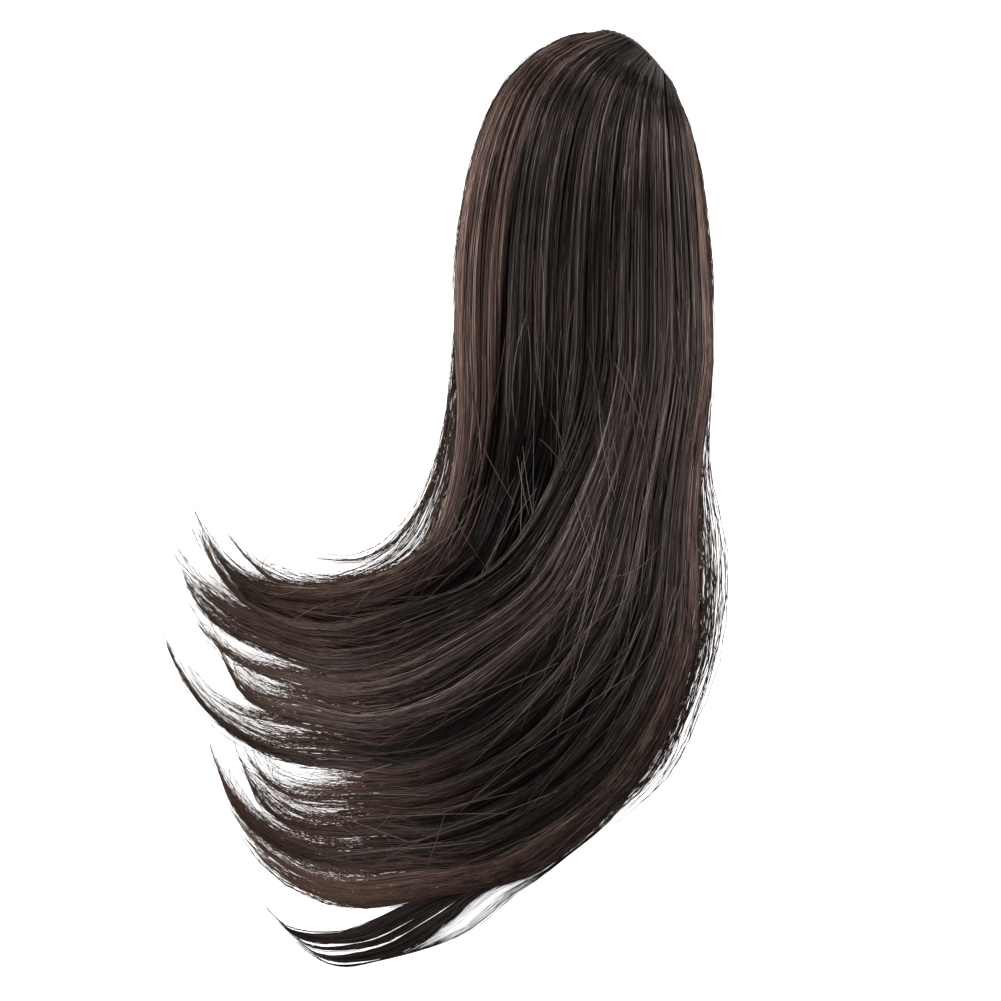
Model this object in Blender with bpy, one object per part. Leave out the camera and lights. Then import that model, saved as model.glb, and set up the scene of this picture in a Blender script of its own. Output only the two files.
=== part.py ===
"""Ponytail hairpiece on a claw clip, lying on a flat surface with its hair swept to one side.

+X is to the right and +Y towards the crown, seen from above; the surface is z = 0. The hair runs along a
"fall": rows of sections from the seam (row 0) to the ends, each with an inner and an outer edge. A place in
the hair is (across, along): across is 0 at the inner edge and 1 at the outer one, and along counts rows.
Lengths in the tables are millimetres, and the scene is in metres.
"""

import math

import bmesh
import bpy
import numpy as np
from mathutils import Matrix, Vector

MM = 0.001
GAP = 0.3
WELD = 0.001

# The fall: the edges of each section on the ground, its crest height and how square its arch is.
FALL_COLUMNS = ("inner_x", "inner_y", "outer_x", "outer_y", "height", "fullness")
FALL = (
    (74.0, 231.5, 112.5, 203.0, 49.0, 3.0),
    (35.0, 212.0, 121.5, 178.0, 58.0, 2.5),
    (16.5, 179.0, 127.0, 146.5, 56.0, 2.3),
    (6.0, 134.0, 131.0, 104.0, 47.0, 2.2),
    (1.5, 84.0, 132.0, 59.0, 39.0, 2.4),
    (-2.0, 39.0, 131.0, 14.0, 34.0, 2.5),
    (-12.5, 1.5, 133.0, -36.0, 31.0, 2.6),
    (-35.0, -25.0, 125.0, -91.0, 29.0, 2.7),
    (-70.0, -32.0, 100.0, -143.5, 27.0, 2.8),
    (-105.0, -23.5, 35.5, -188.0, 24.0, 2.8),
    (-126.5, -11.0, -10.0, -199.5, 18.0, 2.8),
    (-145.0, 4.0, -51.5, -205.0, 12.0, 2.6),
    (-162.5, 21.5, -90.0, -188.5, 8.0, 2.4),
    (-179.0, 39.0, -117.5, -158.5, 5.0, 2.2),
)

# The outer layer: where it ends along the fall, its lock relief, and the hollow in its middle.
OUTER_END = (8.0, 10.5)
OUTER_RINGS = 30
LOCKS_ACROSS = 9
STEPS_PER_LOCK = 4
RELIEF = (0.02, 0.16)
EDGE_THICKNESS = 3.0
HOLLOW = {"across": 0.36, "along": 5.2, "half_width": 0.11, "half_length": 1.3, "depth": 0.26}

# The under layer: a flat sheet of hair from the clip's near jaw, a little narrower than the outer layer.
SHEET_THICKNESS = 7.0
SHEET_END = (7.6, 9.8)
SHEET_EDGES = (0.05, 0.95)
SHEET_START = 1.0
SHEET_RINGS = 22

# The claw clip, under the seam with its mouth towards the surface.
CLIP_RADIUS = 20.0
CLIP_WALL = 2.4
CLIP_LENGTH = 46.0
CLIP_BACK_FROM_SEAM = 28.0
CLIP_AXIS_HEIGHT = 23.0
CLIP_MOUTH = 22.0
CLIP_TEETH = 7
CLIP_SLOT = (3.0, 7.0)
CLIP_SPINE = (8.0, 2.6)

# Free ends of the outer layer. Width and height are halves of the lock's section at its root.
TIP_COLUMNS = ("root_across", "tip_across", "root_along", "tip_along", "half_width", "half_height")
OUTER_TIPS = (
    (0.05, 0.00, 6.6, 10.0, 10.0, 5.0),
    (0.12, 0.10, 6.8, 10.4, 9.5, 5.0),
    (0.20, 0.20, 7.0, 11.3, 14.0, 6.0),
    (0.30, 0.32, 7.4, 10.9, 11.0, 5.5),
    (0.40, 0.41, 7.7, 11.1, 11.5, 6.0),
    (0.50, 0.54, 8.0, 12.5, 16.0, 6.5),
    (0.61, 0.62, 8.3, 11.5, 12.0, 6.0),
    (0.70, 0.73, 8.5, 12.4, 16.0, 6.5),
    (0.79, 0.81, 8.7, 11.8, 12.0, 5.5),
    (0.87, 0.94, 8.9, 12.7, 12.0, 5.0),
    (0.94, 1.00, 9.0, 12.4, 12.0, 4.5),
)
OUTER_TIP_HEIGHTS = (14.0, 2.0)
END_THINNING = 0.35
SEAM_ROUNDING = {"length": 0.5, "depth": 0.22}

# Free ends of the under layer: the loose lock at the very bottom, and a thinner one beside it.
INNER_TIPS = (
    (0.96, 1.16, 8.2, 12.5, 12.0, 3.0),
    (0.88, 1.08, 8.0, 11.3, 11.0, 2.6),
)
INNER_TIP_HEIGHTS = (3.6, 2.4)

# Locks that lie on the outer layer: across at even steps from start to end, half sunk in its surface.
SURFACE_COLUMNS = ("start", "end", "half_width", "half_height", "across")
SURFACE_LOCKS = {
    "left_lock": (1.2, 7.4, 9.5, 3.6, (0.14, 0.12, 0.115, 0.12, 0.13)),
    "sweep_lock": (2.2, 8.2, 15.0, 4.4, (0.70, 0.66, 0.60, 0.45, 0.27)),
}
SURFACE_SINK = -0.5

HAIR_COLOR = (0.022, 0.016, 0.014)
UNDER_COLOR = (0.018, 0.013, 0.011)
RED_HAIR_COLOR = (0.055, 0.026, 0.020)
CLIP_COLOR = (0.012, 0.010, 0.010)


def clear_scene():
    for obj in list(bpy.data.objects):
        bpy.data.objects.remove(obj, do_unlink=True)


def new_collection(name, helpers=False):
    collection = bpy.data.collections.new(name)
    bpy.context.scene.collection.children.link(collection)
    collection.hide_render = helpers
    return collection


def material(name, color, roughness):
    made = bpy.data.materials.new(name)
    made.use_nodes = True
    shader = made.node_tree.nodes["Principled BSDF"]
    shader.inputs["Base Color"].default_value = (*color, 1.0)
    shader.inputs["Roughness"].default_value = roughness
    shader.inputs["Metallic"].default_value = 0.0
    return made


def smooth_between(values, place):
    """The value at a place along evenly spaced ones, on a Catmull-Rom curve through them."""
    last = len(values) - 1
    first = min(max(int(place), 0), last - 1)
    t = place - first
    before = values[first - 1] if first else 2 * values[0] - values[1]
    a, b = values[first], values[first + 1]
    after = values[first + 2] if first + 2 <= last else 2 * values[last] - values[last - 1]
    return a + 0.5 * t * (
        b - before + t * (2 * before - 5 * a + 4 * b - after + t * (3 * (a - b) + after - before))
    )


def fall_at(along):
    row = smooth_between([np.array(values) for values in FALL], along)
    return dict(zip(FALL_COLUMNS, row))


def ground_point(across, along):
    row = fall_at(along)
    inner = np.array((row["inner_x"], row["inner_y"]))
    outer = np.array((row["outer_x"], row["outer_y"]))
    return inner + across * (outer - inner)


def lock_relief(across, along):
    """How much of its height the outer layer keeps, for the grooves between its locks."""
    depth = np.interp(along, (1.0, 8.0), RELIEF)
    ridge = abs(math.sin(math.pi * LOCKS_ACROSS * across))
    return 1.0 - depth * (1.0 - math.sqrt(ridge))


def hollow_relief(across, along):
    """How much of it is left in the hollow where the middle hair dips under the right-hand mass."""
    sideways = (across - HOLLOW["across"]) / HOLLOW["half_width"]
    lengthways = (along - HOLLOW["along"]) / HOLLOW["half_length"]
    return 1.0 - HOLLOW["depth"] * math.exp(-(sideways**2) - lengthways**2)


def end_relief(across, along):
    """Rounds the layer over the seam, and thins it towards its far end, where its free locks leave it."""
    to_seam = max(0.0, 1.0 - along / SEAM_ROUNDING["length"])
    to_end = max(0.0, 1.0 - (np.interp(across, (0.0, 1.0), OUTER_END) - along) / 2.0)
    return (1.0 - SEAM_ROUNDING["depth"] * to_seam**2) * (1.0 - END_THINNING * to_end)


def top_height(across, along):
    row = fall_at(along)
    side = min(abs(2 * across - 1), 1.0)
    arch = (1 - side ** row["fullness"]) ** (1 / row["fullness"])
    rise = (row["height"] - EDGE_THICKNESS) * arch
    rise *= lock_relief(across, along) * hollow_relief(across, along)
    return EDGE_THICKNESS + rise * end_relief(across, along)


def add_object(name, mesh, collection, surface=None):
    obj = bpy.data.objects.new(name, mesh)
    collection.objects.link(obj)
    if surface:
        mesh.materials.append(surface)
    return obj


def loft(name, rings, collection, surface=None):
    """A closed solid through rings of points, all with the same count, with flat ends."""
    built = bmesh.new()
    rows = [[built.verts.new(Vector(point) * MM) for point in ring] for ring in rings]
    for row, following in zip(rows, rows[1:]):
        for i in range(len(row)):
            j = (i + 1) % len(row)
            built.faces.new((row[i], row[j], following[j], following[i]))
    for row in (rows[0], rows[-1]):
        half = len(row) // 2
        for i in range(half - 1):
            corners = (row[i], row[i + 1], row[-i - 2], row[-i - 1])
            built.faces.new(corners)
    bmesh.ops.recalc_face_normals(built, faces=built.faces)
    mesh = bpy.data.meshes.new(name)
    built.to_mesh(mesh)
    built.free()
    mesh.shade_smooth()
    return add_object(name, mesh, collection, surface)


def layer_rings(across_steps, start, end, count, top, bottom):
    """Rings of a layer of hair, closer at its head: the top from the inner edge, then the underside back."""
    rings = []
    for t in np.linspace(0.0, 1.0, count) ** 1.25:
        upper, lower = [], []
        for across in across_steps:
            along = start + t * (np.interp(across, (0.0, 1.0), end) - start)
            x, y = ground_point(across, along)
            upper.append((x, y, top(across, along)))
            lower.append((x, y, bottom))
        rings.append(upper + lower[::-1])
    return rings


def lock_rings(places, half_width, half_height, heights, swell, grow=0.0, sides=8):
    """Rings of one lock along a list of (across, along) places; swell scales its section along it."""
    path = np.array([ground_point(*place) for place in places])
    steps = np.gradient(path, axis=0)
    rings = []
    for point, step, height, scale in zip(path, steps, heights, swell):
        side = np.array((step[1], -step[0])) / np.hypot(*step)
        ring = []
        for corner in range(sides):
            angle = 2 * math.pi * (corner + 0.5) / sides
            sideways = (half_width * scale + grow) * math.cos(angle)
            up = (half_height * scale + grow) * math.sin(angle)
            ring.append((*(point + side * sideways), height + up))
        rings.append(ring)
    return rings


def tip_rings(row, heights, count=11):
    """A free end: it leaves the layer at its root, narrows to a point and comes down to the surface."""
    tip = dict(zip(TIP_COLUMNS, row))
    t = np.linspace(0.0, 1.0, count)
    across = np.interp(t, (0.0, 1.0), (tip["root_across"], tip["tip_across"]))
    along = np.interp(t, (0.0, 1.0), (tip["root_along"], tip["tip_along"]))
    drop = np.clip((t - 0.35) / 0.65, 0.0, 1.0)
    level = heights[0] + (heights[1] - heights[0]) * drop**0.8
    swell = np.interp(t, (0.0, 0.1, 0.45, 0.8, 1.0), (0.75, 0.95, 0.95, 0.5, 0.08))
    return lock_rings(zip(across, along), tip["half_width"], tip["half_height"], level, swell)


def surface_lock_rings(row, grow=0.0, count=24):
    """A lock lying on the outer layer; grow thickens it, for the groove that it lies in."""
    lock = dict(zip(SURFACE_COLUMNS, row))
    t = np.linspace(0.0, 1.0, count)
    along = lock["start"] + t * (lock["end"] - lock["start"])
    steps = len(lock["across"]) - 1
    across = [smooth_between(lock["across"], place * steps) for place in t]
    heights = [top_height(*place) - SURFACE_SINK for place in zip(across, along)]
    heights = np.convolve(np.pad(heights, 2, mode="edge"), np.full(5, 0.2), mode="valid")
    swell = np.interp(t, (0.0, 0.15, 0.6, 1.0), (0.4, 0.8, 1.0, 0.45))
    return lock_rings(
        list(zip(across, along)), lock["half_width"], lock["half_height"], heights, swell, grow
    )


def boolean(target, tool, operation):
    """Joins or cuts target with tool at once, and leaves the plain mesh."""
    modifier = target.modifiers.new(tool.name, "BOOLEAN")
    modifier.operation = operation
    modifier.solver = "EXACT"
    modifier.object = tool
    graph = bpy.context.evaluated_depsgraph_get()
    mesh = bpy.data.meshes.new_from_object(target.evaluated_get(graph))
    target.modifiers.clear()
    mesh.name = target.name
    target.data = mesh


def use_up(target, tools, operation):
    for tool in tools:
        boolean(target, tool, operation)
        bpy.data.objects.remove(tool, do_unlink=True)


def weld(obj):
    """Makes one point of those that the cuts left all but on each other."""
    tidied = bmesh.new()
    tidied.from_mesh(obj.data)
    bmesh.ops.remove_doubles(tidied, verts=tidied.verts, dist=WELD * MM)
    tidied.to_mesh(obj.data)
    tidied.free()


def seam_frame():
    """The seam's direction and the direction away from the hair, as unit vectors on the ground."""
    seam = ground_point(1.0, 0.0) - ground_point(0.0, 0.0)
    seam = seam / np.hypot(*seam)
    return seam, np.array((-seam[1], seam[0]))


def clip_placement():
    """Puts a shape built round the X axis under the seam, parallel to it."""
    seam, away = seam_frame()
    middle = ground_point(0.5, 0.0) - away * CLIP_BACK_FROM_SEAM
    turn = Matrix.Rotation(math.atan2(seam[1], seam[0]), 4, "Z")
    return Matrix.Translation((middle[0] * MM, middle[1] * MM, CLIP_AXIS_HEIGHT * MM)) @ turn


def placed_box(name, size, centre, collection, placement):
    built = bmesh.new()
    bmesh.ops.create_cube(built, size=1.0)
    bmesh.ops.scale(built, vec=Vector(size) * MM, verts=built.verts)
    bmesh.ops.translate(built, vec=Vector(centre) * MM, verts=built.verts)
    bmesh.ops.transform(built, matrix=placement, verts=built.verts)
    mesh = bpy.data.meshes.new(name)
    built.to_mesh(mesh)
    built.free()
    return add_object(name, mesh, collection)


def placed_rod(name, radius, length, collection, placement, sides=40):
    built = bmesh.new()
    bmesh.ops.create_cone(
        built,
        cap_ends=True,
        segments=sides,
        radius1=radius * MM,
        radius2=radius * MM,
        depth=length * MM,
    )
    lay_down = Matrix.Rotation(math.pi / 2, 4, "Y")
    bmesh.ops.transform(built, matrix=placement @ lay_down, verts=built.verts)
    mesh = bpy.data.meshes.new(name)
    built.to_mesh(mesh)
    built.free()
    return add_object(name, mesh, collection)


def claw_clip(collection, helpers, surface):
    """A C-shaped shell, open downwards, with slots that leave teeth along both rims."""
    place = clip_placement()
    clip = placed_rod("claw_clip", CLIP_RADIUS, CLIP_LENGTH, collection, place)
    inside = CLIP_RADIUS - CLIP_WALL
    bore = placed_rod("clip_bore", inside, CLIP_LENGTH + 10, helpers, place)
    mouth_size = (CLIP_LENGTH + 10, CLIP_MOUTH, CLIP_RADIUS * 2)
    mouth = placed_box("clip_mouth", mouth_size, (0, 0, -CLIP_RADIUS), helpers, place)
    use_up(clip, (bore, mouth), "DIFFERENCE")

    rim = math.sqrt(CLIP_RADIUS**2 - (CLIP_MOUTH / 2) ** 2)
    slot_width, slot_depth = CLIP_SLOT
    pitch = CLIP_LENGTH / CLIP_TEETH
    slots = []
    for gap in range(1, CLIP_TEETH):
        x = gap * pitch - CLIP_LENGTH / 2
        size = (slot_width, CLIP_RADIUS * 2 + 5, slot_depth)
        centre = (x, 0, slot_depth / 2 - rim - 1)
        slots.append(placed_box("clip_slot", size, centre, helpers, place))
    use_up(clip, slots, "DIFFERENCE")

    spine_width, spine_height = CLIP_SPINE
    size = (CLIP_LENGTH, spine_width, spine_height)
    spine = placed_box("clip_spine", size, (0, 0, inside - spine_height / 2), helpers, place)
    use_up(clip, (spine,), "UNION")
    clip.data.materials.append(surface)
    return clip


def clip_room(helpers):
    """The space that the clip needs in the hair: its shell, and the way down to the surface."""
    place = clip_placement()
    radius = CLIP_RADIUS + GAP
    length = CLIP_LENGTH + 2 * GAP
    room = placed_rod("clip_room", radius, length, helpers, place)
    way = placed_box("clip_way", (length, 2 * radius, 60), (0, 0, -30), helpers, place)
    use_up(room, (way,), "UNION")
    return room


def tail_side_box(name, start, height, helpers):
    """A block over everything on the tail's side of a line parallel to the seam, up to a height."""
    place = clip_placement()
    reach = 600.0
    size = (reach, reach, 2 * height)
    return placed_box(name, size, (0, -start - reach / 2, -CLIP_AXIS_HEIGHT), helpers, place)


def inner_weft(collection, helpers, surface):
    across_steps = np.linspace(*SHEET_EDGES, 9)
    rings = layer_rings(
        across_steps, SHEET_START, SHEET_END, SHEET_RINGS, lambda *_: SHEET_THICKNESS, 0.0
    )
    weft = loft("inner_weft", rings, collection, surface)
    tips = [loft("inner_tip", tip_rings(row, INNER_TIP_HEIGHTS), helpers) for row in INNER_TIPS]
    use_up(weft, tips, "UNION")
    place = clip_placement()
    start = CLIP_MOUTH / 2 + 2.5
    beyond = placed_box(
        "sheet_head", (300, 300, 100), (0, 150 - start, -CLIP_AXIS_HEIGHT), helpers, place
    )
    shell = placed_rod("sheet_notch", CLIP_RADIUS + GAP, CLIP_LENGTH + 2 * GAP, helpers, place)
    use_up(weft, (beyond, shell), "DIFFERENCE")
    return weft


def outer_weft(collection, helpers, surface):
    count = LOCKS_ACROSS * STEPS_PER_LOCK + 1
    across_steps = np.linspace(0.0, 1.0, count)
    rings = layer_rings(across_steps, 0.0, OUTER_END, OUTER_RINGS, top_height, 0.0)
    weft = loft("outer_weft", rings, collection, surface)
    under = tail_side_box(
        "under_layer_room", CLIP_MOUTH / 2 + 2.5 - GAP, SHEET_THICKNESS + GAP, helpers
    )
    use_up(weft, (under, clip_room(helpers)), "DIFFERENCE")
    tips = [loft("outer_tip", tip_rings(row, OUTER_TIP_HEIGHTS), helpers) for row in OUTER_TIPS]
    use_up(weft, tips, "UNION")
    grooves = [
        loft("groove", surface_lock_rings(row, GAP), helpers) for row in SURFACE_LOCKS.values()
    ]
    use_up(weft, grooves, "DIFFERENCE")
    weld(weft)
    return weft


def main():
    clear_scene()
    hairpiece = new_collection("ponytail_hairpiece")
    helpers = new_collection("ponytail_cutters", helpers=True)
    hair = material("dark_hair", HAIR_COLOR, 0.38)
    under_hair = material("under_hair", UNDER_COLOR, 0.42)
    red_hair = material("reddish_hair", RED_HAIR_COLOR, 0.38)
    plastic = material("clip_plastic", CLIP_COLOR, 0.3)
    claw_clip(hairpiece, helpers, plastic)
    inner_weft(hairpiece, helpers, under_hair)
    outer_weft(hairpiece, helpers, hair)
    for name, row in SURFACE_LOCKS.items():
        shade = red_hair if name == "left_lock" else hair
        loft(name, surface_lock_rings(row), hairpiece, shade)


main()
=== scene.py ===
"""The looks of a long dark ponytail hairpiece that lies on a pale surface, seen from above."""

import math

import bmesh
import bpy
import numpy as np
from mathutils import Matrix, Vector


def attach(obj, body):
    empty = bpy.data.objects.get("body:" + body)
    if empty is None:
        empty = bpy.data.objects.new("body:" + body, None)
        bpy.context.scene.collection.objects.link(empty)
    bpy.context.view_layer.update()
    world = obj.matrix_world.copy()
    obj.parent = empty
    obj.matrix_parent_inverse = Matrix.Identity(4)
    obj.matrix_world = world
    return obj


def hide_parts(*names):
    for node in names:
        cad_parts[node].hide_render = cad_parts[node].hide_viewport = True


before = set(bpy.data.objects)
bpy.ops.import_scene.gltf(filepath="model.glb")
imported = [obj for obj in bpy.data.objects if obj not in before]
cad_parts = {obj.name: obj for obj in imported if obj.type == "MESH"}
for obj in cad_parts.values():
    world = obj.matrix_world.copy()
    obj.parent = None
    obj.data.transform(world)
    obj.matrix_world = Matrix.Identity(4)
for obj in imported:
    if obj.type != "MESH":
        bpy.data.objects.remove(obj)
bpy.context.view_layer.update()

MM = 0.001

# The mass of the hair: close, dark synthetic hair under the strands that show, sewn in rows over the clip,
# domed over it and swept to the left. It is one matte body here, near-black as painted shade where it shows
# between the strands, with room left for the clip, and every strand of the later sections follows the same
# fall.

# The fall, in sections from the seam (row 0) to the ends: the inner (left) edge and the outer edge as x and y
# on the ground, the height of the crest, all in mm, and how full the arch between the edges is.
FALL = np.array((
    (74.0, 231.5, 112.5, 203.0, 49.0, 3.0),
    (35.0, 212.0, 121.5, 178.0, 58.0, 2.5),
    (16.5, 179.0, 127.0, 146.5, 56.0, 2.3),
    (6.0, 134.0, 131.0, 104.0, 47.0, 2.2),
    (1.5, 84.0, 132.0, 59.0, 39.0, 2.4),
    (-2.0, 39.0, 131.0, 14.0, 34.0, 2.5),
    (-12.5, 1.5, 133.0, -36.0, 31.0, 2.6),
    (-35.0, -25.0, 125.0, -91.0, 29.0, 2.7),
    (-70.0, -32.0, 100.0, -143.5, 27.0, 2.8),
    (-105.0, -23.5, 35.5, -188.0, 24.0, 2.8),
    (-126.5, -11.0, -10.0, -199.5, 18.0, 2.8),
    (-145.0, 4.0, -51.5, -205.0, 12.0, 2.6),
    (-162.5, 21.5, -90.0, -188.5, 8.0, 2.4),
    (-179.0, 39.0, -117.5, -158.5, 5.0, 2.2),
))
EDGE_THICKNESS = 3.0
LEAST_RISE = 0.5
SEAM_ROUNDING_LENGTH = 0.5
SEAM_ROUNDING_DEPTH = 0.22
SEAM_BOW = 0.15
SEAM_OVERHANG = 0.02
# Dark partings and hollows: place and size as (across, along), and how deep, in mm.
HOLLOWS = (
    {"across": 0.195, "along": 4.3, "half_width": 0.020, "half_length": 1.9, "depth": 6.0},
    {"across": 0.50, "along": 4.2, "half_width": 0.035, "half_length": 1.3, "depth": 4.0},
    {"across": 0.36, "along": 5.3, "half_width": 0.100, "half_length": 1.1, "depth": 6.0},
)
# The dense hair stands a little inside or outside the fall's edges, as shares of its width, row by row.
INNER_MARGIN = (
    (0.0, 0.12, 0.25, 0.5, 1.0, 1.5, 2.5, 3.5, 4.2, 4.8, 5.8, 6.6, 7.5, 8.1, 8.6, 9.5, 10.5),
    (
        -0.02, -0.075, -0.09, -0.065, -0.02, -0.018, -0.015, -0.005, 0.01,
        0.033, 0.062, 0.09, 0.088, 0.10, 0.12, 0.10, 0.06,
    ),
)
OUTER_MARGIN = (
    (0.0, 3.8, 4.7, 5.3, 5.7, 6.1, 6.5, 7.2, 7.8, 8.4, 9.0),
    (1.0, 0.995, 0.965, 0.945, 0.925, 0.94, 0.955, 0.965, 0.965, 0.99, 1.0),
)
# From this row on, the outer hair fans out over the inner hair, which then lies this much lower, in mm.
FAN_START = 4.4
FAN_DIP = 7.0
# The core lies below the strands. It ends at these rows, for places across it, in a fringe of fine teeth.
CORE_DEPTH = 3.5
CORE_EDGES = (0.03, 0.965)
CORE_END = ((0.0, 0.25, 0.5, 0.75, 1.0), (7.6, 9.0, 9.5, 9.9, 10.0))
CORE_THINNING = 2.4
CORE_LEAST_HEIGHT = 1.6
CORE_LEAST_THICKNESS = 1.2
CORE_GROUND_GAP = 0.4
CROWN_END = 1.2
UNDER_LAYER_HEIGHT = 7.3
TEETH_LENGTH = 0.3
TEETH_WAVES = ((211.0, 0.0), (97.0, 1.0))
# The room for the clip is a drum along the seam, and its way out to the ground.
CLIP_SETBACK = 28.0
CLIP_HEIGHT = 23.0
CLIP_ROOM_RADIUS = 20.3
CLIP_ROOM_LENGTH = 46.6
CLIP_WAY_OUT = 60.0


def curve_at(points, at):
    """Rows on a Catmull-Rom curve through the rows of points, at places counted in rows."""
    first = np.clip(np.floor(at).astype(int), 0, len(points) - 2)
    t = (at - first)[..., None]
    rows = np.vstack([2 * points[0] - points[1], points, 2 * points[-1] - points[-2]])
    before, a, b, after = (rows[first + step] for step in range(4))
    return a + 0.5 * t * (
        b - before + t * (2 * before - 5 * a + 4 * b - after + t * (3 * (a - b) + after - before))
    )


def fall_at(along):
    """The fall's section at each place along it."""
    return curve_at(FALL, np.asarray(along, float))


def ground(across, along):
    """Where each (across, along) lies on the ground, in mm."""
    row = fall_at(along)
    inner, outer = row[..., 0:2], row[..., 2:4]
    return inner + np.asarray(across)[..., None] * (outer - inner)


def seam_direction():
    """The way along the seam on the ground, from its inner end to its outer end."""
    seam = ground(1.0, 0.0) - ground(0.0, 0.0)
    return seam / np.linalg.norm(seam)


def seam_line(across):
    """The row at which the hair leaves the seam, which bows away from the hair a little."""
    return -SEAM_OVERHANG - SEAM_BOW * 4 * across * (1 - across)


def ease(t):
    """A smooth step from 0 to 1."""
    t = np.clip(t, 0.0, 1.0)
    return t * t * (3 - 2 * t)


def margins(along):
    """The places across the fall between which the hair is dense."""
    return np.interp(along, *INNER_MARGIN), np.interp(along, *OUTER_MARGIN)


def within_margins(across, along):
    inner, outer = margins(along)
    return inner + (outer - inner) * across


def hollow_depth(across, along):
    depth = np.zeros(np.broadcast(across, along).shape)
    for hollow in HOLLOWS:
        sideways = (across - hollow["across"]) / hollow["half_width"]
        lengthways = (along - hollow["along"]) / hollow["half_length"]
        depth += hollow["depth"] * np.exp(-(sideways**2) - lengthways**4)
    return depth


def fan_dip(across, along):
    """How far the hair that the fan covers lies below the crest, in mm."""
    return FAN_DIP * ease((along - FAN_START) / 1.6) * ease((0.62 - across) / 0.2) * ease(across / 0.2)


def crest(across, along):
    """The height of the hair's surface, in mm, without its partings."""
    row = fall_at(along)
    inner, outer = margins(along)
    side = np.clip(np.abs(2 * (across - inner) / (outer - inner) - 1), 0.0, 1.0)
    fullness = row[..., 5]
    arch = (1 - side**fullness) ** (1 / fullness)
    to_seam = np.clip(1.0 - along / SEAM_ROUNDING_LENGTH, 0.0, 1.0)
    rounding = 1.0 - SEAM_ROUNDING_DEPTH * to_seam**2
    return EDGE_THICKNESS + np.maximum(row[..., 4] - EDGE_THICKNESS, LEAST_RISE) * arch * rounding


def core_top(across, along):
    height = crest(across, along) - CORE_DEPTH - hollow_depth(across, along) - fan_dip(across, along)
    end = np.interp(across, *CORE_END) + 0.5
    thinning = np.clip((end - along) / CORE_THINNING, 0.0, 1.0) ** 0.8
    return np.maximum(CORE_LEAST_HEIGHT + (height - CORE_LEAST_HEIGHT) * thinning, CORE_LEAST_HEIGHT)


def core_bottom(across, along):
    lift = np.where(along < CROWN_END, 0.0, UNDER_LAYER_HEIGHT)
    return np.clip(np.minimum(lift, core_top(across, along) - CORE_LEAST_THICKNESS), CORE_GROUND_GAP, None)


def hair_slab(name, edges, ends, rings, across_steps, top, bottom):
    """A closed mass of hair between a top and an underside, both functions of (across, along). It ends in
    fine teeth along a line given as places across and the rows there."""
    u = np.linspace(*edges, across_steps)
    t = np.linspace(0.0, 1.0, rings)[:, None] ** 1.2
    start = seam_line(u)
    teeth = sum(TEETH_LENGTH * np.sin(frequency * u + shift) for frequency, shift in TEETH_WAVES)
    along = start + t * (np.interp(u, *ends) + teeth - start)
    across = within_margins(np.broadcast_to(u, along.shape), along)
    flat = ground(across, along)
    upper = np.dstack([flat, top(across, along)])
    lower = np.dstack([flat, bottom(across, along)])
    loops = np.concatenate([upper, lower[:, ::-1]], axis=1)
    index = np.arange(rings * 2 * across_steps).reshape(rings, 2 * across_steps)
    following = np.roll(index, -1, axis=1)
    around = np.stack([index[:-1], following[:-1], following[1:], index[1:]], axis=-1).reshape(-1, 4)
    caps = []
    for ring in (index[0], index[-1]):
        a, b = ring[: across_steps - 1], ring[1:across_steps]
        c, d = ring[::-1][1:across_steps], ring[::-1][: across_steps - 1]
        caps.append(np.stack([a, d, c, b], axis=-1))
    mesh = bpy.data.meshes.new(name)
    mesh.from_pydata((loops.reshape(-1, 3) * MM).tolist(), [], np.vstack([around, *caps]).tolist())
    mesh.shade_smooth()
    solid = bmesh.new()
    solid.from_mesh(mesh)
    bmesh.ops.recalc_face_normals(solid, faces=solid.faces)
    solid.to_mesh(mesh)
    solid.free()
    obj = bpy.data.objects.new(name, mesh)
    bpy.context.scene.collection.objects.link(obj)
    return obj


def cut_for_clip(obj):
    """Leaves the space that the claw clip fills, and its way out, in a mass of hair."""
    seam = seam_direction()
    centre = ground(0.5, 0.0) - CLIP_SETBACK * np.array((-seam[1], seam[0]))
    place = Matrix.Translation(Vector((centre[0], centre[1], CLIP_HEIGHT)) * MM)
    place = place @ Matrix.Rotation(math.atan2(seam[1], seam[0]), 4, "Z")
    radius, length = CLIP_ROOM_RADIUS * MM, CLIP_ROOM_LENGTH * MM
    room = bmesh.new()
    bmesh.ops.create_cone(room, cap_ends=True, segments=48, radius1=radius, radius2=radius, depth=length)
    bmesh.ops.transform(room, matrix=place @ Matrix.Rotation(math.pi / 2, 4, "Y"), verts=room.verts)
    way = bmesh.ops.create_cube(room, size=1.0)["verts"]
    bmesh.ops.scale(room, vec=(length, 2 * radius, CLIP_WAY_OUT * MM), verts=way)
    bmesh.ops.translate(room, vec=(0, 0, -0.5 * CLIP_WAY_OUT * MM), verts=way)
    bmesh.ops.transform(room, matrix=place, verts=way)
    mesh = bpy.data.meshes.new("clip_room")
    room.to_mesh(mesh)
    room.free()
    cutter = bpy.data.objects.new("clip_room", mesh)
    bpy.context.scene.collection.objects.link(cutter)
    cut = obj.modifiers.new("clip_room", "BOOLEAN")
    cut.operation = "DIFFERENCE"
    cut.solver = "EXACT"
    cut.use_self = True
    cut.object = cutter
    graph = bpy.context.evaluated_depsgraph_get()
    obj.data = bpy.data.meshes.new_from_object(obj.evaluated_get(graph))
    obj.modifiers.clear()
    bpy.data.objects.remove(cutter, do_unlink=True)


def new_material(name, values):
    """A material with plain values on its shader's sockets, and that shader."""
    made = bpy.data.materials.new(name)
    made.use_nodes = True
    shader = made.node_tree.nodes["Principled BSDF"]
    for socket, value in values.items():
        shader.inputs[socket].default_value = value
    return made, shader


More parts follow.
